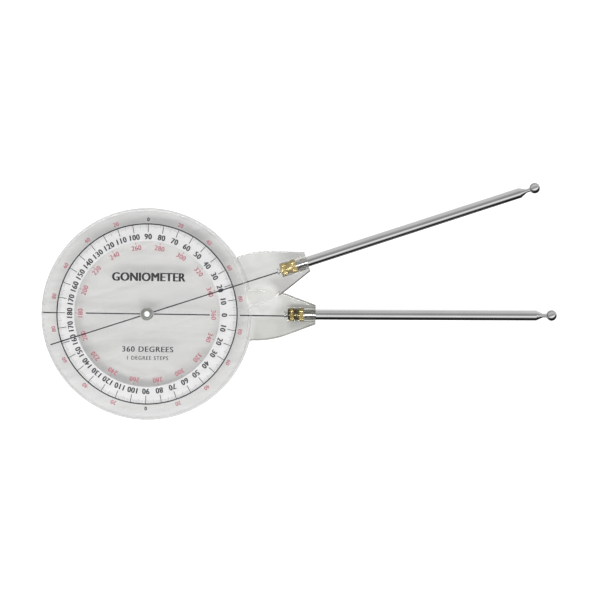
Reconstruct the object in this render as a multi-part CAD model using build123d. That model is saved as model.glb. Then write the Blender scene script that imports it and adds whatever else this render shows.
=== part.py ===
from build123d import *
import math
import os

# A 360 degree dial goniometer with two telescopic arms, in millimetres.
#
# Frame: the origin is on the pivot axis, in the plane where the two plates face each other.
# +X runs along the fixed arm and +Z points up out of the dial's face.
# The dial plate hangs below that plane and the pointer plate stands above it, so each plate's
# thick socket tongue and its arm pass clear of the other's over a full turn.
# Arm pieces are made in an arm frame first: the arm's axis is +X and s is the distance from
# the pivot along it.

# Plates
ARM_ANGLE = 18.2  # degrees from the fixed arm to the moving arm at rest
DIAL_R = 52.4
POINTER_R = 51.4
PLATE_T = 2.2
PLATE_GAP = 0.2  # between the two plates' facing sides
RIM_ROUND = 0.4
WEB_ROUND = 2.0  # in the corner between the rim and the tongue, seen from above

# Socket tongue, from the plate's inner face to its far face
TONGUE_T = 10.0
TONGUE_END_S = 83.2
TONGUE_END_HALF_W = 4.85
TONGUE_KNEE_S = 69.8  # straight sides beyond this, an arc before it
TONGUE_KNEE_HALF_W = 9.95
TONGUE_ROOT_S = 47.0
TONGUE_ROOT_HALF_W = 12.5
TONGUE_SHOULDER_R = 49.8  # the thick part starts here, on an arc about the pivot
TONGUE_ROOT_Z = 0.6  # the thick part joins the sheet at this height, above its rounded lower edge
TONGUE_ROUND = 1.2  # along the far face
SHOULDER_ROUND = 2.5  # at the two ends of the shoulder, seen from above
AXIS_OFFSET = 5.0  # from a plate's inner face to its arm's axis

# Socket bore and the brass insert moulded into it
SOCKET_R = 3.6
INSERT_S = 69.5
INSERT_END_S = 77.4
INSERT_CREST_R = 3.57
INSERT_ROOT_R = 3.3
INSERT_GROOVE_R = 2.9
INSERT_LEAD = 1.0
INSERT_BAND = 1.9
INSERT_GROOVE = 2.8
INSERT_FLANGE_R = 3.5
KNURL_TEETH = 24
THREAD_HOLE_R = 1.5
PILOT_R = 1.6
PILOT_DEPTH = 1.8  # clearance hole in the plastic behind the insert

# Pivot eyelet and its washers
BARREL_R = 2.0
EYELET_HOLE_R = 1.4
EYELET_HEAD_R = 3.1
EYELET_HEAD_T = 0.5
HEAD_EDGE_T = 0.15  # the head's thickness at its rim
HEAD_SLOPE = ((0.35, 0.08), (0.8, 0.0))  # inwards from the rim, down from the top
ROLL_R = 2.7
ROLL_CHAMFER = 0.3
BACK_WASHER_R = 3.1
WASHER_T = 0.4
PIVOT_PLAY = 0.05  # radial, between the eyelet and the pointer plate
SEAT_PLAY = 0.02  # radial or axial, between pieces that don't move apart
THRUST_PLAY = 0.04  # axial, under the eyelet's head

# Telescopic arms: section 1 is the outer tube, section 5 the solid core rod
SECTIONS = 5
OUTER_R = 2.6
STEP_R = 0.4  # each section's radius is this much less than the one around it
WALL = 0.3
FOOT_S = 78.2
MOUTH_S = 193.3
MOUTH_STEP = 0.85  # each section's mouth stands this much further out
LIP = 1.5  # length of the rolled-in lip that guides the next section
LIP_PLAY = 0.03
NOSE = 0.7  # length of the rounded nose outside the lip
NOSE_DROP = 0.22
FIRST_TRAVEL = 105.0  # section 2 out of section 1
TRAVEL_STEP = 4.0  # each further section travels this much less
STOP_PLAY = 0.05  # left between guide and lip at full reach

# Guide plugs at the foot of the inner sections
HEAD = 3.0
SPIGOT = 1.8
GUIDE_PLAY = 0.04
CORE_SPIGOT_R = 0.5
SLIT_W = 0.3
SLIT_DEPTH = 2.0
HEAD_CHAMFER = 0.2

# Stud between insert and outer tube
STUD_S = 71.5
STUD_THREAD_R = 1.45
PLUG_END_S = 82.2

# Ball tip
BALL_S = 200.5
BALL_R = 2.65
BALL_HOLE_S = 197.5

LATHE_AXIS = Axis.X


def section_r(section):
    """Outer radius of a telescopic section, 1 to 5."""
    return OUTER_R - STEP_R * (section - 1)


def bore_r(section):
    """Inner radius of a tube section, 1 to 4."""
    return section_r(section) - WALL


def mouth_s(section):
    return MOUTH_S + MOUTH_STEP * (section - 1)


def travel(section):
    """How far a section slides out of the one around it."""
    return FIRST_TRAVEL - TRAVEL_STEP * (section - 2)


def guide_s(section):
    """Foot of a section's guide head: its far side stops on the lip at full travel."""
    lip_s = mouth_s(section - 1) - LIP
    return lip_s - STOP_PLAY - travel(section) - HEAD


def foot_s(section):
    """Foot of a section's own metal."""
    if section == 1:
        return FOOT_S
    return guide_s(section) + HEAD


def bar(r, start, end):
    """Plain round bar along the arm's axis."""
    return Location((start, 0, 0), (0, 90, 0)) * Cylinder(
        r, end - start, align=(Align.CENTER, Align.CENTER, Align.MIN)
    )


def lathe(outline):
    """Turn a closed outline, drawn in s and radius, about the arm's axis."""
    return revolve(make_face(outline), LATHE_AXIS)


# Plates


def tongue_face():
    """Plan of a tongue: an end face, straight sides, then arcs that widen to the rim."""
    end = Vector(TONGUE_END_S, TONGUE_END_HALF_W)
    knee = Vector(TONGUE_KNEE_S, TONGUE_KNEE_HALF_W)
    root = Vector(TONGUE_ROOT_S, TONGUE_ROOT_HALF_W)
    inner = Vector(POINTER_R / 2, TONGUE_ROOT_HALF_W)
    side = Line(end, knee)
    flare = TangentArc(knee, root, tangent=knee - end)
    flank = Line(root, inner)
    half = [side, flare, flank]
    other = [mirror(edge, Plane.XZ) for edge in half]
    ends = [Line(end, (end.X, -end.Y)), Line(inner, (inner.X, -inner.Y))]
    return make_face(half + other + ends)


def thick_tongue():
    """The tongue's thick part above z = 0, cut back to the shoulder about the pivot."""
    block = extrude(Location((0, 0, TONGUE_ROOT_Z)) * tongue_face(), TONGUE_T - TONGUE_ROOT_Z)
    block -= Cylinder(TONGUE_SHOULDER_R, 3 * TONGUE_T)
    shoulder = [
        edge
        for edge in block.edges().filter_by(Axis.Z)
        if abs(math.hypot(edge.center().X, edge.center().Y) - TONGUE_SHOULDER_R) < 0.01
    ]
    block = fillet(shoulder, SHOULDER_ROUND)
    rim = [
        edge
        for edge in block.faces().sort_by(Axis.Z)[-1].edges()
        if edge.center().X < TONGUE_END_S - 0.1
    ]
    return fillet(rim, TONGUE_ROUND)


def plate(rim_r, pivot_r):
    """One moulded plate, inner face on z = 0, tongue standing up along +X."""
    plan = Circle(rim_r) + tongue_face()
    corners = [
        vertex
        for vertex in plan.vertices()
        if abs(math.hypot(vertex.X, vertex.Y) - rim_r) < 0.01 and vertex.X > 0
    ]
    plan = fillet(corners, WEB_ROUND)
    sheet = extrude(plan, PLATE_T)
    sheet = fillet(sheet.edges().filter_by(Axis.Z, reverse=True), RIM_ROUND)
    body = sheet + thick_tongue()
    axis = Location((0, 0, AXIS_OFFSET))
    body -= axis * bar(SOCKET_R, INSERT_S, TONGUE_END_S + 1)
    body -= axis * bar(PILOT_R, INSERT_S - PILOT_DEPTH, INSERT_S + 1)
    return body - Cylinder(pivot_r, 3 * TONGUE_T)


# Brass insert and stud


def knurl(start, end):
    """A band of straight knurling: V-shaped teeth along the axis."""
    half_pitch = math.pi / KNURL_TEETH
    points = []
    for i in range(2 * KNURL_TEETH):
        r = INSERT_CREST_R if i % 2 == 0 else INSERT_ROOT_R
        points.append((r * math.cos(i * half_pitch), r * math.sin(i * half_pitch)))
    band = extrude(make_face(Polyline(points, close=True)), end - start)
    return Location((start, 0, 0), (0, 90, 0)) * band


def insert():
    first = INSERT_S + INSERT_LEAD
    second = first + INSERT_BAND + INSERT_GROOVE
    flange = second + INSERT_BAND
    body = bar(INSERT_GROOVE_R, INSERT_S, flange)
    body += knurl(first, first + INSERT_BAND)
    body += knurl(second, flange)
    body += bar(INSERT_FLANGE_R, flange, INSERT_END_S)
    return body - bar(THREAD_HOLE_R, INSERT_S - 1, INSERT_END_S + 1)


def base_stud():
    """Thread in the insert, a collar against its face, and the plug in the outer tube."""
    body = bar(STUD_THREAD_R, STUD_S, INSERT_END_S)
    body += bar(OUTER_R, INSERT_END_S, FOOT_S)
    return body + bar(bore_r(1) - SEAT_PLAY, FOOT_S, PLUG_END_S)


# Telescopic sections


def tube(section):
    """A tube with an open foot, a rounded nose and a lip rolled in around the next section."""
    outer = section_r(section)
    inner = bore_r(section)
    lip_r = section_r(section + 1) + LIP_PLAY
    mouth = mouth_s(section)
    foot = foot_s(section)
    shoulder = Vector(mouth - NOSE, outer)
    nose = Vector(mouth, outer - NOSE_DROP)
    outline = [
        Line((foot, inner), (foot, outer)),
        Line((foot, outer), shoulder),
        TangentArc(shoulder, nose, tangent=(1, 0)),
        Polyline(nose, (mouth, lip_r), (mouth - LIP, lip_r), (mouth - LIP, inner), (foot, inner)),
    ]
    return lathe(outline)


def guide(section):
    """Slit spring plug: a head that rubs in the tube around it, a spigot in its own section."""
    foot = guide_s(section)
    head_r = bore_r(section - 1) - GUIDE_PLAY
    spigot_r = CORE_SPIGOT_R
    if section < SECTIONS:
        spigot_r = bore_r(section)
    body = chamfer(bar(head_r, foot, foot + HEAD).edges().sort_by(Axis.X)[0], HEAD_CHAMFER)
    body += bar(spigot_r - SEAT_PLAY, foot + HEAD, foot + HEAD + SPIGOT)
    slit = Box(SLIT_DEPTH, SLIT_W, 3 * OUTER_R, align=(Align.MIN, Align.CENTER, Align.CENTER))
    return body - Location((foot, 0, 0)) * slit


def core_rod():
    foot = foot_s(SECTIONS)
    rod = bar(section_r(SECTIONS), foot, BALL_S)
    return rod - bar(CORE_SPIGOT_R, foot - 1, foot + SPIGOT + SEAT_PLAY)


def tip_ball():
    ball = Location((BALL_S, 0, 0)) * Sphere(BALL_R)
    hole_r = section_r(SECTIONS) + SEAT_PLAY / 2
    return ball - bar(hole_r, BALL_HOLE_S - 1, BALL_S + SEAT_PLAY)


# Pivot


def pivot_rivet():
    """Hollow eyelet: flat domed head on the pointer plate, end rolled over the back washer."""
    head_z = PLATE_GAP + PLATE_T + THRUST_PLAY
    back_z = -PLATE_T - WASHER_T
    top = head_z + EYELET_HEAD_T
    bottom = back_z - WASHER_T
    roll = [
        (EYELET_HOLE_R, bottom),
        (ROLL_R - ROLL_CHAMFER, bottom),
        (ROLL_R, bottom + ROLL_CHAMFER),
        (ROLL_R, back_z),
    ]
    head = [(EYELET_HEAD_R, head_z), (EYELET_HEAD_R, head_z + HEAD_EDGE_T)]
    dome = [(EYELET_HEAD_R - inwards, top - drop) for inwards, drop in HEAD_SLOPE]
    points = roll + [(BARREL_R, back_z), (BARREL_R, head_z)] + head + dome
    outline = Polyline(points + [(EYELET_HOLE_R, top)], close=True)
    return revolve(Plane.XZ * make_face(outline), Axis.Z)


def ring(inner_r, outer_r, bottom, thickness):
    """Flat washer on the pivot axis."""
    low = (Align.CENTER, Align.CENTER, Align.MIN)
    washer = Cylinder(outer_r, thickness, align=low) - Cylinder(inner_r, thickness, align=low)
    return Location((0, 0, bottom)) * washer


# Assembly

FIXED_ARM = Location((0, 0, -AXIS_OFFSET))
MOVING_ARM = Location((0, 0, 0), (0, 0, ARM_ANGLE)) * Location((0, 0, PLATE_GAP + AXIS_OFFSET))


def arm_parts(prefix, place):
    """Every separate piece of one telescopic arm, moved to where the arm lies."""
    parts = {
        "insert": insert(),
        "base_stud": base_stud(),
        "core_rod": core_rod(),
        "tip_ball": tip_ball(),
    }
    for section in range(1, SECTIONS):
        parts[f"tube_{section}"] = tube(section)
    for section in range(2, SECTIONS + 1):
        parts[f"guide_{section}"] = guide(section)
    return {f"{prefix}_{name}": place * shape for name, shape in parts.items()}


def all_parts():
    dial_side = Location((0, 0, 0), (180, 0, 0))
    pointer_side = Location((0, 0, PLATE_GAP), (0, 0, ARM_ANGLE))
    washer_t = PLATE_GAP - SEAT_PLAY
    parts = {
        "dial_plate": dial_side * plate(DIAL_R, BARREL_R + SEAT_PLAY),
        "pointer_plate": pointer_side * plate(POINTER_R, BARREL_R + PIVOT_PLAY),
        "pivot_rivet": pivot_rivet(),
        "rivet_washer": ring(BARREL_R + SEAT_PLAY, BACK_WASHER_R, -PLATE_T - WASHER_T, WASHER_T),
        "friction_washer": ring(BARREL_R + SEAT_PLAY, EYELET_HEAD_R, 0, washer_t),
    }
    parts.update(arm_parts("fixed", FIXED_ARM))
    parts.update(arm_parts("moving", MOVING_ARM))
    return parts


def main():
    os.makedirs("parts", exist_ok=True)
    for name, shape in all_parts().items():
        export_step(shape, f"parts/{name}.step")
    for section in range(2, SECTIONS + 1):
        print("section", section, "guide at", round(guide_s(section), 2), "travel", travel(section))


main()
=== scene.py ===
import math
from types import SimpleNamespace

import bmesh
import bpy
from mathutils import Matrix, Vector


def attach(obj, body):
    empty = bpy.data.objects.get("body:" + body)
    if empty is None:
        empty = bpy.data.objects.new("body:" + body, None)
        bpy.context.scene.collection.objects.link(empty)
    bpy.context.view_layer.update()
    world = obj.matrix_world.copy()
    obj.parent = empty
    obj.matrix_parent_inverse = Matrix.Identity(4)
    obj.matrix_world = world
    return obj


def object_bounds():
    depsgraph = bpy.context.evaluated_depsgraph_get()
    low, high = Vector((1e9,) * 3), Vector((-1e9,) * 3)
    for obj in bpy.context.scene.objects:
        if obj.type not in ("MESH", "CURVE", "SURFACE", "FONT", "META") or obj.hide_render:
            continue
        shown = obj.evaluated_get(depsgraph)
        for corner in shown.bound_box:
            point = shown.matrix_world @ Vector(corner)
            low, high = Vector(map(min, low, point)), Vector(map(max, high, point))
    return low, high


# Looks of a clear plastic dial goniometer with two telescopic arms.
# Metres; the frame is the CAD's: pivot at the origin, fixed arm along +X, dial face up +Z.

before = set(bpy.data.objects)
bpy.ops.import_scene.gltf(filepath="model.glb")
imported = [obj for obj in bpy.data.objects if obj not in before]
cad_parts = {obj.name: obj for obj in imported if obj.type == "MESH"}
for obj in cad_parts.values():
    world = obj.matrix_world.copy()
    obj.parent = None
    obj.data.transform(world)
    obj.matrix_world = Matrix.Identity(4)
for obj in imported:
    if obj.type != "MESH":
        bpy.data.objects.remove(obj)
cad_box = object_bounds()
scene = bpy.context.scene

MM = 0.001
PER_WIDTH = 50.0  # a tongue's 20 mm width, in metres, fills a colour ramp
PER_INSERT = 100.0  # and so do 10 mm along an insert
ARM_TURN = math.radians(18.2)  # moving arm from the fixed arm at rest
PRINT_TURN = math.radians(-0.6)  # the print sits slightly turned on the dial
HAIR_TURN = math.radians(-0.3)  # and the pointer's line on its own plate

# Plates, in mm
DIAL_RIM_R = 52.4
POINTER_RIM_R = 51.4
DIAL_BORE_Z = -5.0  # height of the socket's axis
POINTER_BORE_Z = 5.2
OVERLAP = (56.5, 7.5)  # where the tongues cross at rest; the tint is painted paler there, as painted light against the double layer's shade
BORE_R = 3.8  # just outside the socket's wall
SOCKET_S = (68.5, 72.0)  # the painted shade bands beside the socket fade in here
INSERT_S = (69.25, 77.55)  # foot and end of the brass insert
BRASS_S = 69.0  # just before the insert

# Printed scale, in mm from the pivot
RING_IN_R = 36.0
CIRCLE_R = 44.45
CIRCLE_W = 0.6
TICK_END_R = 44.2
TICKS = ((10, 40.4, 0.34), (5, 42.2, 0.13), (1, 42.7, 0.09))  # every so many degrees: start, width
NUMERAL_R = 38.2
RED_R = 32.9
RED_TICK = (34.7, 35.5, 0.3)  # start, end, width
OUTER_R = 46.7  # the numerals outside the circle
LINE_W = 0.6  # zero line and pointer line
LINE_END_S = 69.6  # the lines stop at the brass insert
RIVET_R = 3.4

# Heights of the print in the gap between the plates (z from 0 to 0.2)
RING_Z = (0.03, 0.06)
INK_Z = (0.08, 0.10)
POINTER_INK_Z = (0.15, 0.17)

# Letters, in units of the letters' size
HEAVY = (-0.05, 0.0, 0.05)  # how far each copy is shifted sideways to thicken the strokes
FULLER = (-0.035, 0.035)
WELD = 0.0005  # closer points are one point

# Studio
FLOOR_Z = cad_box[0][2] / MM - 0.02
FLOOR_HALF = 6.0  # metres
CAMERA_HEIGHT = 0.85  # metres
VIEW_WIDTH = 0.2964  # metres across the picture at z = 0
VIEW_CENTRE = (0.0755, 0.0069)
VIEW_ROLL = math.radians(0.25)
SENSOR = 36.0


# Node graphs


class Graph:
    """Small helper to write a material's nodes as expressions."""

    def __init__(self, tree):
        self.tree = tree
        self.tree.nodes.clear()

    def add(self, kind, **settings):
        node = self.tree.nodes.new(kind)
        for key, value in settings.items():
            setattr(node, key, value)
        return node

    def put(self, socket, value):
        if isinstance(value, bpy.types.NodeSocket):
            self.tree.links.new(value, socket)
        else:
            socket.default_value = value

    def coords(self, turn=0.0, scale=(1, 1, 1)):
        """Object coordinates turned about Z (so +X runs along an arm), then scaled."""
        place = self.add("ShaderNodeTexCoord").outputs["Object"]
        turned = self.add("ShaderNodeVectorRotate", rotation_type="Z_AXIS")
        self.put(turned.inputs["Vector"], place)
        turned.inputs["Angle"].default_value = -turn
        sized = self.add("ShaderNodeMapping")
        self.put(sized.inputs["Vector"], turned.outputs[0])
        sized.inputs["Scale"].default_value = scale
        return sized.outputs[0]

    def noise(self, vector, scale, detail=3.0, rough=0.5):
        node = self.add("ShaderNodeTexNoise")
        self.put(node.inputs["Vector"], vector)
        node.inputs["Scale"].default_value = scale
        node.inputs["Detail"].default_value = detail
        node.inputs["Roughness"].default_value = rough
        return node.outputs["Fac"]

    def cells(self, vector, scale):
        node = self.add("ShaderNodeTexVoronoi")
        self.put(node.inputs["Vector"], vector)
        node.inputs["Scale"].default_value = scale
        return node.outputs["Distance"]

    def from_pivot(self, vector):
        node = self.add("ShaderNodeVectorMath", operation="LENGTH")
        self.put(node.inputs[0], vector)
        return node.outputs["Value"]

    def split(self, vector):
        node = self.add("ShaderNodeSeparateXYZ")
        self.put(node.inputs[0], vector)
        return node.outputs["X"], node.outputs["Y"], node.outputs["Z"]

    def level(self):
        """1 on a face that lies flat, 0 on an upright one."""
        _, _, up = self.split(self.add("ShaderNodeNewGeometry").outputs["Normal"])
        return self.math("ABSOLUTE", up)

    def product(self, first, *others):
        for other in others:
            first = self.math("MULTIPLY", first, other)
        return first

    def span(self, a, b, centre=(0.0, 0.0)):
        """Distance in a plane from a centre in mm."""
        offsets = [self.math("SUBTRACT", value, c * MM) for value, c in zip((a, b), centre)]
        squares = [self.math("MULTIPLY", offset, offset) for offset in offsets]
        return self.math("SQRT", self.math("ADD", *squares))

    def ramp(self, value, stops, smooth=False):
        """Colour ramp; a stop is (position, grey or colour)."""
        node = self.add("ShaderNodeValToRGB")
        self.put(node.inputs[0], value)
        band = node.color_ramp
        band.interpolation = "EASE" if smooth else "LINEAR"
        while len(band.elements) < len(stops):
            band.elements.new(0.5)
        for element, (position, colour) in zip(band.elements, stops):
            element.position = position
            if not isinstance(colour, tuple):
                colour = (colour, colour, colour)
            element.color = (*colour, 1.0)
        return node.outputs[0]

    def rise(self, value, low, high):
        """0 at low (mm) and 1 at high, and level outside them; high may be the smaller."""
        node = self.add("ShaderNodeMapRange", clamp=True)
        self.put(node.inputs["Value"], value)
        node.inputs["From Min"].default_value = low * MM
        node.inputs["From Max"].default_value = high * MM
        return node.outputs["Result"]

    def math(self, operation, a, b=0.0):
        node = self.add("ShaderNodeMath", operation=operation)
        self.put(node.inputs[0], a)
        self.put(node.inputs[1], b)
        return node.outputs[0]

    def mix(self, factor, a, b, blend="MIX"):
        node = self.add("ShaderNodeMix", data_type="RGBA", blend_type=blend)
        self.put(node.inputs[0], factor)
        for socket, value in ((node.inputs[6], a), (node.inputs[7], b)):
            if isinstance(value, tuple):
                value = (*value, 1.0)
            self.put(socket, value)
        return node.outputs[2]

    def dim(self, colour, by, where=1.0):
        """A colour multiplied by another, in full or where a mask says."""
        return self.mix(where, colour, by, "MULTIPLY")

    def bump(self, height, strength, distance_mm, normal=None):
        node = self.add("ShaderNodeBump")
        self.put(node.inputs["Height"], height)
        node.inputs["Strength"].default_value = strength
        node.inputs["Distance"].default_value = distance_mm * MM
        if normal is not None:
            self.put(node.inputs["Normal"], normal)
        return node.outputs[0]

    def principled(self, **values):
        node = self.add("ShaderNodeBsdfPrincipled")
        for key, value in values.items():
            name = key.replace("_", " ")
            if isinstance(value, tuple) and len(value) == 3:
                value = (*value, 1.0)
            self.put(node.inputs[name], value)
        return node.outputs[0]

    def either(self, factor, first, second):
        node = self.add("ShaderNodeMixShader")
        for socket, value in zip(node.inputs, (factor, first, second)):
            self.put(socket, value)
        return node.outputs[0]

    def surface(self, shader):
        out = self.add("ShaderNodeOutputMaterial")
        self.tree.links.new(shader, out.inputs["Surface"])


def material(name):
    mat = bpy.data.materials.new(name)
    mat.use_nodes = True
    return mat, Graph(mat.node_tree)


def on_plate(g, turn, disc_r):
    """Where a point is on a plate: the values that its masks and tints are made of."""
    at = SimpleNamespace()
    at.along = g.coords(turn)
    _, at.aside, at.height = g.split(at.along)
    x, y, _ = g.split(g.add("ShaderNodeTexCoord").outputs["Object"])
    at.cloud = g.noise(at.along, 35.0, 3.0)
    at.sway = g.math("SUBTRACT", at.cloud, 0.5)
    at.radius = g.span(x, y)
    at.away = g.math("ADD", g.span(x, y, OVERLAP), g.math("MULTIPLY", at.sway, 3.0 * MM))
    at.level = g.level()
    at.in_tongue = g.rise(at.radius, disc_r - 1.0, disc_r + 2.0)
    # 0 on one side of the tongue, 0.5 on the arm's axis and 1 on the other side
    at.side = g.math("ADD", g.math("MULTIPLY", at.aside, PER_WIDTH), 0.5)
    return at


def side_stops(bands):
    """Ramp stops along on_plate's side from (mm aside of the arm's axis, tone)."""
    return [(mm * MM * PER_WIDTH + 0.5, tone) for mm, tone in bands]


def body_tint(g, at, disc_r, look):
    """Clear disc, a rim with painted shade, cloudier tongue, a painted pale spot where the tongues cross,
    painted light blobs in the tongue and painted shade beside the socket.
    """
    # Painted shade: the flat faces just inside the rim are tinted darker.
    painted_rim_shade = g.rise(at.radius, disc_r - 1.6, disc_r - 0.8)
    tint = g.mix(painted_rim_shade, look["disc"], look["rim"])
    side = g.math("ADD", at.side, g.math("MULTIPLY", at.sway, 0.6))
    tint = g.mix(at.in_tongue, tint, g.ramp(side, look["tongue"]))
    # Painted light: the tint is paler where the tongues cross, to lighten the double layer's shade.
    tint = g.mix(g.rise(at.away, 10.5, 7.0), tint, (1.0, 1.0, 0.99))
    # Painted light: soft paler and darker blobs in the tongue, for light bent by the plastic.
    painted_light_blobs = g.ramp(g.noise(at.along, 110.0, 1.0), [(0.35, 0.93), (0.6, 1.0)], True)
    tint = g.dim(tint, painted_light_blobs, at.in_tongue)
    # Painted shade: darker bands beside the socket, where the bore shows dark through the plastic.
    bore_shade = g.ramp(at.side, side_stops(look["bore_shade_bands"]))
    return g.dim(tint, bore_shade, g.rise(at.radius, *SOCKET_S))


def shoulder_mask(g, at, disc_r):
    """The thick tongue's rounded start, and its rounded edges where the tongues cross."""
    inside_rim = g.rise(at.radius, disc_r - 0.2, disc_r - 0.3)
    crossing = g.rise(at.away, 9.5, 8.0)
    turned_down = g.ramp(at.level, [(0.97, 1.0), (0.995, 0.0)])
    return g.product(g.math("MAXIMUM", inside_rim, crossing), turned_down)


def outline_mask(g, at, strengths):
    """The tongue's outline, where the painted edge shade is darkest, with a strength for each side; it
    fades where the tongues cross.
    """
    low, high = strengths
    strength = g.math("ADD", g.math("MULTIPLY", g.rise(at.aside, -1.0, 1.0), high - low), low)
    off_axis = g.rise(g.math("ABSOLUTE", at.aside), 4.0, 4.4)
    return g.product(at.in_tongue, off_axis, strength, g.rise(at.away, 6.5, 8.5))


def cut_edge_mask(g, at, disc_r):
    """The disc's frosted rim, whose tint also gets painted shade."""
    at_rim = g.product(
        g.rise(at.radius, disc_r - 0.6, disc_r - 0.2),
        g.rise(at.radius, disc_r + 0.2, disc_r + 0.1),
    )
    return g.product(at_rim, g.ramp(at.level, [(0.8, 1.0), (0.97, 0.0)]))


def clear_plastic(name, turn, disc_r, bore_z, look):
    """Clear moulded plastic with fine wear lines along its own arm.

    The thick tongue is cloudier than the disc, more so towards one side. The rounded
    edges and side walls are painted darker, a painted shade for light going further through the plastic.
    """
    mat, g = material(name)
    at = on_plate(g, turn, disc_r)
    shoulder = shoulder_mask(g, at, disc_r)
    outline = outline_mask(g, at, look["outlines"])
    cut_edge = cut_edge_mask(g, at, disc_r)

    # Painted shade: the tint darkens where the surface turns from flat, on rounded edges and walls, most on
    # the tongue's outline.
    disc_edge_shade = g.ramp(at.level, [(0.0, 0.9), (0.2, 0.9), (0.4, 0.6), (0.6, 0.7), (0.96, 1.0)])
    tongue_edge_shade = g.ramp(at.level, [(0.0, 0.7), (0.12, 0.5), (0.25, 0.16), (0.85, 0.2), (0.97, 1.0)])
    edge = g.mix(shoulder, g.mix(outline, disc_edge_shade, tongue_edge_shade), (1.0, 1.0, 1.0))
    tint = g.dim(body_tint(g, at, disc_r, look), edge)

    drawn = g.coords(turn, (0.06, 1.0, 1.0))
    bands = g.noise(drawn, 140.0, 2.0)
    hairs = g.noise(drawn, 1500.0, 2.0)
    tint = g.dim(tint, g.ramp(bands, [(0.36, 0.93), (0.5, 1.0), (0.62, 0.97), (0.75, 1.0)]))
    tint = g.dim(tint, g.ramp(hairs, [(0.0, 1.0), (0.66, 1.0), (0.72, 0.94)]))
    # Painted shade: the frosted rim's tint is darkened too.
    tint = g.dim(tint, (0.85, 0.85, 0.85), cut_edge)

    rounded = g.ramp(at.level, [(0.1, 0.0), (0.25, 1.0), (0.85, 1.0), (0.97, 0.0)])
    clear = g.math("SUBTRACT", 1.0, g.product(outline, rounded, 0.85))
    clear = g.math("SUBTRACT", clear, g.math("MULTIPLY", cut_edge, 0.3))
    hazy = g.ramp(at.cloud, [(0.3, 0.0), (0.7, 0.03)])
    hazy = g.math("ADD", hazy, g.math("MULTIPLY", shoulder, 0.35))
    hazy = g.math("ADD", hazy, g.math("MULTIPLY", cut_edge, 0.3))

    # The plastic is moulded onto the brass, so little bends at the socket's wall there.
    in_bore = g.rise(g.span(at.aside, at.height, (0.0, bore_z)), BORE_R + 0.1, BORE_R - 0.1)
    foot, end = INSERT_S
    at_insert = g.product(
        g.rise(at.radius, foot - 0.05, foot + 0.05), g.rise(at.radius, end + 0.05, end - 0.05)
    )
    blended = g.math("MAXIMUM", g.product(in_bore, at_insert), shoulder)
    glass = g.principled(
        Base_Color=tint,
        Roughness=hazy,
        IOR=g.math("SUBTRACT", 1.49, g.math("MULTIPLY", blended, 0.42)),
        Transmission_Weight=clear,
        Normal=g.bump(at.cloud, 0.2, 0.05, g.bump(bands, 0.25, 0.02)),
    )
    # Light goes straight through to what lies under the plastic, which keeps its shadow pale.
    through = g.add("ShaderNodeBsdfTransparent")
    through.inputs[0].default_value = (0.95, 0.95, 0.945, 1.0)
    rays = g.add("ShaderNodeLightPath")
    soft = g.math("MAXIMUM", rays.outputs["Is Shadow Ray"], rays.outputs["Is Diffuse Ray"])
    g.surface(g.either(soft, glass, through.outputs[0]))
    return mat


def chrome(name, turn, tone, rough, side_shade=1.0):
    """Polished chrome with draw lines along the tube, smudges and a few dull specks.

    The last argument darkens the steep sides: a painted dark reflection, used on a ball.
    """
    mat, g = material(name)
    drawn = g.coords(turn, (0.04, 1.0, 1.0))
    lines = g.noise(drawn, 5200.0, 3.0)
    smudge = g.noise(g.coords(turn, (0.5, 1.0, 1.0)), 130.0, 4.0, 0.6)
    specks = g.cells(g.coords(turn), 900.0)
    colour = g.ramp(smudge, [(0.3, tone * 0.95), (0.7, tone * 1.03)])
    colour = g.dim(colour, g.ramp(specks, [(0.0, 0.88), (0.06, 0.9), (0.1, 1.0)]))
    # Painted shade: the steep sides are darkened, a painted dark reflection on the ball.
    colour = g.dim(colour, g.ramp(g.level(), [(0.3, side_shade), (0.97, 1.0)]))
    roughness = g.math("MULTIPLY", g.ramp(smudge, [(0.25, 0.75), (0.75, 1.35)]), rough)
    normal = g.bump(lines, 0.12, 0.01)
    g.surface(
        g.principled(Base_Color=colour, Metallic=1.0, Roughness=roughness, Normal=normal)
    )
    return mat


def metal(name, light, dark, rough, relief=0.3, groove_shade=None, metallic=1.0):
    """Turned or stamped metal: tone variation, tool marks and darkening in the fine grain.

    An optional list of (distance from the pivot in mm, tone) darkens an insert's grooves as painted shade.
    """
    mat, g = material(name)
    place = g.coords()
    patch = g.noise(place, 320.0, 4.0, 0.6)
    marks = g.noise(place, 900.0, 4.0, 0.6)
    colour = g.mix(g.ramp(patch, [(0.32, 0.0), (0.68, 1.0)]), dark, light)
    if groove_shade:
        # Painted shade: bands along the insert are darkened where its grooves lie.
        beyond = g.math("SUBTRACT", g.from_pivot(place), BRASS_S * MM)
        stops = [((s - BRASS_S) * MM * PER_INSERT, tone) for s, tone in groove_shade]
        colour = g.dim(colour, g.ramp(g.math("MULTIPLY", beyond, PER_INSERT), stops))
    roughness = g.math("MULTIPLY", g.ramp(marks, [(0.2, 0.7), (0.8, 1.4)]), rough)
    g.surface(
        g.principled(
            Base_Color=colour,
            Metallic=metallic,
            Roughness=roughness,
            Normal=g.bump(marks, relief, 0.02),
        )
    )
    return mat


def matt_plastic(name, light, dark, rough, grain, specular=0.5):
    """Slightly mottled plastic or printing ink."""
    mat, g = material(name)
    patch = g.noise(g.coords(), grain, 4.0, 0.6)
    colour = g.mix(g.ramp(patch, [(0.3, 0.0), (0.7, 1.0)]), dark, light)
    roughness = g.math("MULTIPLY", g.ramp(patch, [(0.2, 0.8), (0.8, 1.2)]), rough)
    g.surface(
        g.principled(
            Base_Color=colour,
            Roughness=roughness,
            Specular_IOR_Level=specular,
            Normal=g.bump(patch, 0.2, 0.01),
        )
    )
    return mat


# Print


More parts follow.
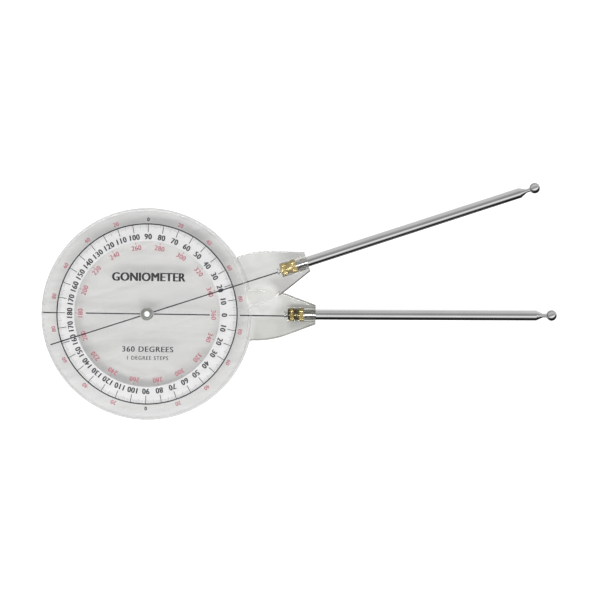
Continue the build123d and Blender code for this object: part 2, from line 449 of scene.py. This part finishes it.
def evaluated(obj):
    """A mesh of an object as its modifiers leave it."""
    bpy.context.view_layer.update()
    return bpy.data.meshes.new_from_object(obj.evaluated_get(bpy.context.evaluated_depsgraph_get()))


def linked(name, data):
    obj = bpy.data.objects.new(name, data)
    scene.collection.objects.link(obj)
    return obj


def lower_copy(bm, depth):
    """Gives flat, upward faces a thickness: their copy goes down by depth, with walls between."""
    grown = bmesh.ops.extrude_face_region(bm, geom=list(bm.faces))
    lowered = [v for v in grown["geom"] if isinstance(v, bmesh.types.BMVert)]
    bmesh.ops.translate(bm, verts=lowered, vec=(0, 0, -depth))
    bmesh.ops.recalc_face_normals(bm, faces=bm.faces)


def clean(mesh):
    """Removes the doubled points, slivers and loose points that filled outlines leave."""
    bm = bmesh.new()
    bm.from_mesh(mesh)
    bmesh.ops.remove_doubles(bm, verts=bm.verts, dist=WELD)
    bmesh.ops.dissolve_degenerate(bm, edges=bm.edges, dist=WELD)
    bmesh.ops.dissolve_limit(bm, angle_limit=0.001, verts=[], edges=bm.edges)
    loose = [v for v in bm.verts if not v.link_faces]
    bmesh.ops.delete(bm, geom=loose, context="VERTS")
    bm.to_mesh(mesh)
    bm.free()


def prism(mesh, shift):
    """A flat shape, moved sideways and given a thickness of 1 (as an object of its own)."""
    bm = bmesh.new()
    bm.from_mesh(mesh)
    lower_copy(bm, 1)
    bmesh.ops.translate(bm, verts=bm.verts, vec=(shift, 0, 0))
    solid = bpy.data.meshes.new("copy")
    bm.to_mesh(solid)
    bm.free()
    return linked("copy", solid)


def merged(mesh, shifts):
    """One flat shape out of copies laid side by side: their prisms are joined and the top is kept."""
    prisms = [prism(mesh, shift) for shift in shifts]
    first = prisms[0]
    for other in prisms[1:]:
        join = first.modifiers.new("join", "BOOLEAN")
        join.operation = "UNION"
        join.solver = "EXACT"
        join.object = other
    joined = evaluated(first)
    bm = bmesh.new()
    bm.from_mesh(joined)
    below_top = [face for face in bm.faces if face.calc_center_median().z < -0.001]
    bmesh.ops.delete(bm, geom=below_top, context="FACES")
    bm.to_mesh(joined)
    bm.free()
    for used in prisms:
        solid = used.data
        bpy.data.objects.remove(used)
        bpy.data.meshes.remove(solid)
    bpy.data.meshes.remove(mesh)
    return joined


def text_mesh(words, bold, spacing, shifts):
    """Flat letters of unit size, centred on their own box; shifted copies make them heavier."""
    curve = bpy.data.curves.new("letters", "FONT")
    curve.body = words
    curve.size = 1.0
    curve.offset = bold
    curve.space_character = spacing
    curve.resolution_u = 4
    holder = linked("letters", curve)
    mesh = evaluated(holder)
    bpy.data.objects.remove(holder)
    bpy.data.curves.remove(curve)
    if shifts:
        mesh = merged(mesh, shifts)
    clean(mesh)
    xs = [v.co.x for v in mesh.vertices]
    ys = [v.co.y for v in mesh.vertices]
    middle = Vector(((min(xs) + max(xs)) / 2, (min(ys) + max(ys)) / 2, 0))
    mesh.transform(Matrix.Translation(-middle))
    return mesh, max(ys) - min(ys)


class Print:
    """Collects flat ink shapes, in mm, and makes one thin piece of them."""

    def __init__(self, name, heights):
        self.name = name
        self.low, self.high = heights
        self.bm = bmesh.new()
        self.cache = {}

    def quad(self, corners):
        self.bm.faces.new([self.bm.verts.new((x, y, self.high)) for x, y in corners])

    def line(self, angle, start, end, width):
        """A straight mark along the ray at an angle, from start to end."""
        along = Vector((math.cos(angle), math.sin(angle)))
        side = Vector((-along.y, along.x))
        corners = [(start, -1), (end, -1), (end, 1), (start, 1)]
        self.quad([along * s + side * (k * width / 2) for s, k in corners])

    def annulus(self, inner, outer, steps=360):
        def at(r, i):
            a = 2 * math.pi * i / steps
            return (r * math.cos(a), r * math.sin(a), self.high)

        inside = [self.bm.verts.new(at(inner, i)) for i in range(steps)]
        outside = [self.bm.verts.new(at(outer, i)) for i in range(steps)]
        for i in range(steps):
            j = (i + 1) % steps
            self.bm.faces.new([inside[i], outside[i], outside[j], inside[j]])

    def text(self, words, centre, height, turn=0.0, squeeze=1.0, spacing=1.0, shifts=(), bold=0.0):
        """Words with a height in mm, centred on a point and turned."""
        key = (words, bold, spacing, shifts)
        if key not in self.cache:
            self.cache[key] = text_mesh(*key)
        mesh, tall = self.cache[key]
        k = height / tall
        place = (
            Matrix.Translation((centre[0], centre[1], self.high))
            @ Matrix.Rotation(turn, 4, "Z")
            @ Matrix.Diagonal((k * squeeze, k, 1, 1))
        )
        copy = mesh.copy()
        copy.transform(place)
        self.bm.from_mesh(copy)
        bpy.data.meshes.remove(copy)

    def finish(self, body, mat, turn):
        spin = Matrix.Rotation(turn, 3, "Z")
        bmesh.ops.rotate(self.bm, verts=self.bm.verts, matrix=spin)
        bmesh.ops.recalc_face_normals(self.bm, faces=self.bm.faces)
        for face in self.bm.faces:
            if face.normal.z < 0:
                face.normal_flip()
        lower_copy(self.bm, self.high - self.low)
        bmesh.ops.scale(self.bm, vec=(MM, MM, MM), verts=self.bm.verts)
        mesh = bpy.data.meshes.new(self.name)
        self.bm.to_mesh(mesh)
        self.bm.free()
        for cached, _ in self.cache.values():
            bpy.data.meshes.remove(cached)
        piece = linked(self.name, mesh)
        mesh.materials.append(mat)
        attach(piece, body)


def polar(radius, degrees):
    a = math.radians(degrees)
    return radius * math.cos(a), radius * math.sin(a)


def half_turn_value(degree):
    """The scale counts up to 180 on both sides of zero."""
    return degree if degree <= 180 else 360 - degree


def upright(degree):
    """Turn of a numeral whose foot points at the pivot."""
    return math.radians(degree - 90)


def scale_marks(black):
    marks = Print("scale_marks", INK_Z)
    marks.annulus(CIRCLE_R - CIRCLE_W / 2, CIRCLE_R + CIRCLE_W / 2)
    for degree in range(360):
        start, width = next((r, w) for step, r, w in TICKS if degree % step == 0)
        marks.line(math.radians(degree), start, TICK_END_R, width)
    marks.finish("dial", black, PRINT_TURN)


def scale_numerals(black):
    figures = Print("scale_numerals", INK_Z)
    for degree in range(0, 360, 10):
        place = polar(NUMERAL_R, degree)
        figures.text(str(half_turn_value(degree)), place, 2.75, upright(degree), 0.86, 1.12, HEAVY)
    for degree in (90, 270):
        figures.text("0", polar(OUTER_R, degree), 1.9, upright(degree), bold=0.04)
    figures.finish("dial", black, PRINT_TURN)


def scale_numerals_red(red):
    reds = Print("scale_numerals_red", INK_Z)
    for degree in range(0, 360, 20):
        value = 360 - half_turn_value(degree)
        reds.text(str(value), polar(RED_R, degree), 2.4, upright(degree), 0.9, 1.08, FULLER)
        reds.line(math.radians(degree), *RED_TICK)
    for step in range(20, 100, 20):
        for degree in (90 - step, 90 + step, 270 - step, 270 + step):
            reds.text(str(step), polar(OUTER_R, degree), 2.0, upright(degree), 0.92, 1.08, FULLER)
    reds.finish("dial", red, PRINT_TURN)


def scale_words(black):
    words = Print("scale_words", INK_Z)
    heading = (-0.056, -0.019, 0.019, 0.056)
    words.text("GONIOMETER", (0.6, 18.3), 4.2, squeeze=0.9, spacing=1.06, shifts=heading)
    words.text("360 DEGREES", (0.6, -17.4), 2.7, spacing=1.15, shifts=(-0.027, 0.027))
    small = (-0.022, 0.022)
    words.text("1 DEGREE STEPS", (0.6, -21.7), 1.9, squeeze=0.9, spacing=1.2, shifts=small)
    words.finish("dial", black, PRINT_TURN)


def reference_lines(black):
    zero = Print("zero_line", INK_Z)
    zero.line(math.pi, CIRCLE_R, 51.9, LINE_W)
    zero.line(math.pi, RIVET_R, 30.2, LINE_W)
    zero.line(0.0, RIVET_R, 31.0, LINE_W)
    zero.line(0.0, 45.8, LINE_END_S, LINE_W)
    zero.finish("dial", black, PRINT_TURN)

    hair = Print("pointer_line", POINTER_INK_Z)
    hair.line(math.pi, RIVET_R, 50.0, LINE_W)
    hair.line(0.0, RIVET_R, LINE_END_S, LINE_W)
    hair.finish("pointer", black, ARM_TURN + HAIR_TURN)


def printed_scale():
    white = matt_plastic("ring_white", (0.655, 0.655, 0.66), (0.61, 0.61, 0.62), 0.55, 260.0)
    black = matt_plastic("ink_black", (0.035, 0.035, 0.04), (0.012, 0.012, 0.015), 0.45, 900.0, 0.1)
    red = matt_plastic("ink_red", (0.40, 0.12, 0.155), (0.32, 0.09, 0.12), 0.45, 900.0)

    ring = Print("scale_ring", RING_Z)
    ring.annulus(RING_IN_R, CIRCLE_R + CIRCLE_W / 2)
    ring.finish("dial", white, PRINT_TURN)
    scale_marks(black)
    scale_numerals(black)
    scale_numerals_red(red)
    scale_words(black)
    reference_lines(black)


# CAD nodes


def plate_materials():
    dial = {
        "disc": (0.965, 0.965, 0.964),
        "rim": (0.89, 0.89, 0.89),
        "tongue": [(0.1, (0.76, 0.77, 0.74)), (0.9, (0.82, 0.83, 0.80))],
        "bore_shade_bands": [
            (-8.0, 1.0),
            (-5.5, 0.78),
            (-3.7, 0.72),
            (-3.0, 1.0),
            (3.3, 1.0),
            (3.9, 0.82),
            (5.5, 1.0),
        ],
        "outlines": (0.7, 1.0),
    }
    pointer = {
        "disc": (0.965, 0.965, 0.964),
        "rim": (0.94, 0.94, 0.94),
        "tongue": [(0.15, (0.68, 0.67, 0.67)), (0.6, (0.93, 0.935, 0.92)), (0.9, (0.90, 0.91, 0.89))],
        "bore_shade_bands": [(-9.0, 1.0), (-4.0, 0.96), (4.0, 1.0)],
        "outlines": (1.0, 0.3),
    }
    return {
        "dial_plate": clear_plastic("plastic_dial", 0.0, DIAL_RIM_R, DIAL_BORE_Z, dial),
        "pointer_plate": clear_plastic(
            "plastic_pointer", ARM_TURN, POINTER_RIM_R, POINTER_BORE_Z, pointer
        ),
    }


def insert_materials():
    """Brass; the grooves of both inserts are painted darker as shade, the fixed arm's most."""
    # Painted shade along each insert, darkest in the fixed arm's grooves.
    fixed_groove_shade = [(69.0, 0.12), (70.4, 0.12), (70.8, 1.0), (72.0, 1.0), (72.6, 0.2), (74.8, 0.25), (75.4, 1.0)]
    moving_groove_shade = [(69.0, 0.8), (70.4, 0.9), (72.4, 1.0), (73.4, 0.8), (74.6, 0.8), (75.4, 1.0)]
    return {
        "fixed": metal(
            "insert_brass_fixed",
            (0.83, 0.66, 0.30),
            (0.60, 0.43, 0.16),
            0.26,
            groove_shade=fixed_groove_shade,
            metallic=0.8,
        ),
        "moving": metal(
            "insert_brass_moving",
            (0.95, 0.80, 0.44),
            (0.50, 0.36, 0.13),
            0.30,
            relief=0.9,
            groove_shade=moving_groove_shade,
            metallic=0.65,
        ),
    }


def node_materials():
    """The material of each CAD node, by the node's name."""
    rivet = metal("rivet_nickel", (0.66, 0.68, 0.64), (0.50, 0.52, 0.48), 0.3)
    stud = metal("stud_steel", (0.64, 0.65, 0.65), (0.50, 0.51, 0.51), 0.3)
    guide = metal("guide_bronze", (0.74, 0.52, 0.27), (0.58, 0.38, 0.18), 0.32)
    washer = matt_plastic("washer_nylon", (0.85, 0.85, 0.83), (0.78, 0.78, 0.76), 0.6, 500.0)
    inserts = insert_materials()
    of_node = plate_materials()
    of_node.update({"pivot_rivet": rivet, "rivet_washer": rivet, "friction_washer": washer})
    for side, turn in (("fixed", 0.0), ("moving", ARM_TURN)):
        tube = chrome(f"chrome_{side}", turn, 0.72, 0.10)
        of_node[f"{side}_insert"] = inserts[side]
        of_node[f"{side}_base_stud"] = stud
        of_node[f"{side}_core_rod"] = tube
        of_node[f"{side}_tip_ball"] = chrome(f"chrome_ball_{side}", turn, 0.85, 0.12, 0.2)
        for section in range(1, 5):
            of_node[f"{side}_tube_{section}"] = tube
            of_node[f"{side}_guide_{section + 1}"] = guide
    return of_node


def dress():
    of_node = node_materials()
    for name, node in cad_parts.items():
        for i in range(len(node.data.materials)):
            node.data.materials[i] = of_node[name]


# Studio


def sky():
    """Soft grey studio: light band just to the front of overhead, a dark flag low in front."""
    world = bpy.data.worlds.new("studio")
    scene.world = world
    world.use_nodes = True
    g = Graph(world.node_tree)
    x, y, z = g.split(g.add("ShaderNodeTexCoord").outputs["Generated"])
    front = g.math("SUBTRACT", g.math("MULTIPLY", x, 0.35), g.math("MULTIPLY", y, 0.937))
    tilt = g.math("ARCTAN2", front, z)
    factor = g.math("ADD", g.math("MULTIPLY", tilt, 0.5 / math.pi), 0.5)
    # degrees from straight up towards the front, and brightness
    look = [
        (-180, 0.95),
        (-140, 0.95),
        (-118, 0.80),
        (-99, 0.72),
        (-84, 0.69),
        (-70, 0.75),
        (-57, 0.68),
        (-45, 0.56),
        (-35, 0.46),
        (-25, 0.37),
        (-14, 0.31),
        (-4, 0.34),
        (4, 0.42),
        (12, 0.62),
        (20, 1.05),
        (27, 1.15),
        (35, 0.95),
        (44, 0.72),
        (52, 0.38),
        (58, 0.12),
        (64, 0.03),
        (78, 0.015),
        (108, 0.015),
        (120, 0.03),
        (130, 0.20),
        (141, 0.70),
        (152, 0.95),
        (180, 0.95),
    ]
    top = max(v for _, v in look)
    colour = g.ramp(factor, [((a + 180) / 360, v / top) for a, v in look])
    in_plane = g.ramp(g.math("ABSOLUTE", x), [(0.05, 1.0), (0.14, 0.0)])
    low_front = g.ramp(factor, [(0.79, 0.0), (0.81, 1.0), (0.90, 1.0), (0.925, 0.0)])
    colour = g.mix(g.math("MULTIPLY", in_plane, low_front), colour, (0.02, 0.02, 0.02))
    straight = g.add("ShaderNodeLightPath").outputs["Is Camera Ray"]
    colour = g.mix(straight, colour, (1.0 / top, 1.0 / top, 1.0 / top))
    back = g.add("ShaderNodeBackground")
    g.put(back.inputs["Color"], colour)
    back.inputs["Strength"].default_value = top
    out = g.add("ShaderNodeOutputWorld")
    g.put(out.inputs["Surface"], back.outputs[0])


def floor():
    """Pale paper that glows a little, so thin shadows wash out; less so behind clear plastic.

    Its back is clear, so that the object's underside can be looked at.
    """
    bm = bmesh.new()
    corners = [(-1, -1), (1, -1), (1, 1), (-1, 1)]
    bm.faces.new([bm.verts.new((x * FLOOR_HALF, y * FLOOR_HALF, FLOOR_Z * MM)) for x, y in corners])
    mesh = bpy.data.meshes.new("floor")
    bm.to_mesh(mesh)
    bm.free()
    sheet = linked("floor", mesh)
    mat, g = material("floor_paper")
    grain = g.noise(g.coords(), 40.0, 3.0)
    colour = g.mix(g.ramp(grain, [(0.3, 0.0), (0.7, 1.0)]), (0.39, 0.39, 0.39), (0.40, 0.40, 0.40))
    rays = g.add("ShaderNodeLightPath")
    # Painted shade: seen through the clear plastic the floor glows less, so it shows darker under the
    # plates.
    behind = g.math("MULTIPLY", rays.outputs["Is Transmission Ray"], -0.51)
    paper = g.principled(
        Base_Color=colour,
        Roughness=0.9,
        Emission_Color=(1.0, 1.0, 1.0),
        Emission_Strength=g.math("ADD", behind, 0.85),
    )
    back = g.add("ShaderNodeNewGeometry").outputs["Backfacing"]
    g.surface(g.either(back, paper, g.add("ShaderNodeBsdfTransparent").outputs[0]))
    mesh.materials.append(mat)
    sheet.visible_glossy = False


def lamps():
    lamp = bpy.data.lights.new("key", "AREA")
    lamp.shape = "RECTANGLE"
    lamp.size = 1.1
    lamp.size_y = 0.3
    lamp.energy = 19.0
    key = linked("key", lamp)
    tilt = math.radians(20.0)
    aim = Vector((0.075, 0.0, 0.0))
    key.location = aim + 1.3 * Vector((-0.1, -math.sin(tilt), math.cos(tilt)))
    key.rotation_euler = (aim - key.location).to_track_quat("-Z", "Y").to_euler()
    key.visible_glossy = False


def camera():
    """Straight above, as a long lens sees it."""
    data = bpy.data.cameras.new("view")
    data.sensor_width = SENSOR
    data.lens = SENSOR * CAMERA_HEIGHT / VIEW_WIDTH
    data.clip_start = 0.05
    data.clip_end = 50.0
    eye = linked("view", data)
    eye.location = Matrix.Rotation(VIEW_ROLL, 3, "Z") @ Vector((*VIEW_CENTRE, CAMERA_HEIGHT))
    eye.rotation_euler = (0.0, 0.0, VIEW_ROLL)
    scene.camera = eye


dress()
printed_scale()
sky()
floor()
lamps()
camera()
scene.view_settings.view_transform = "Standard"
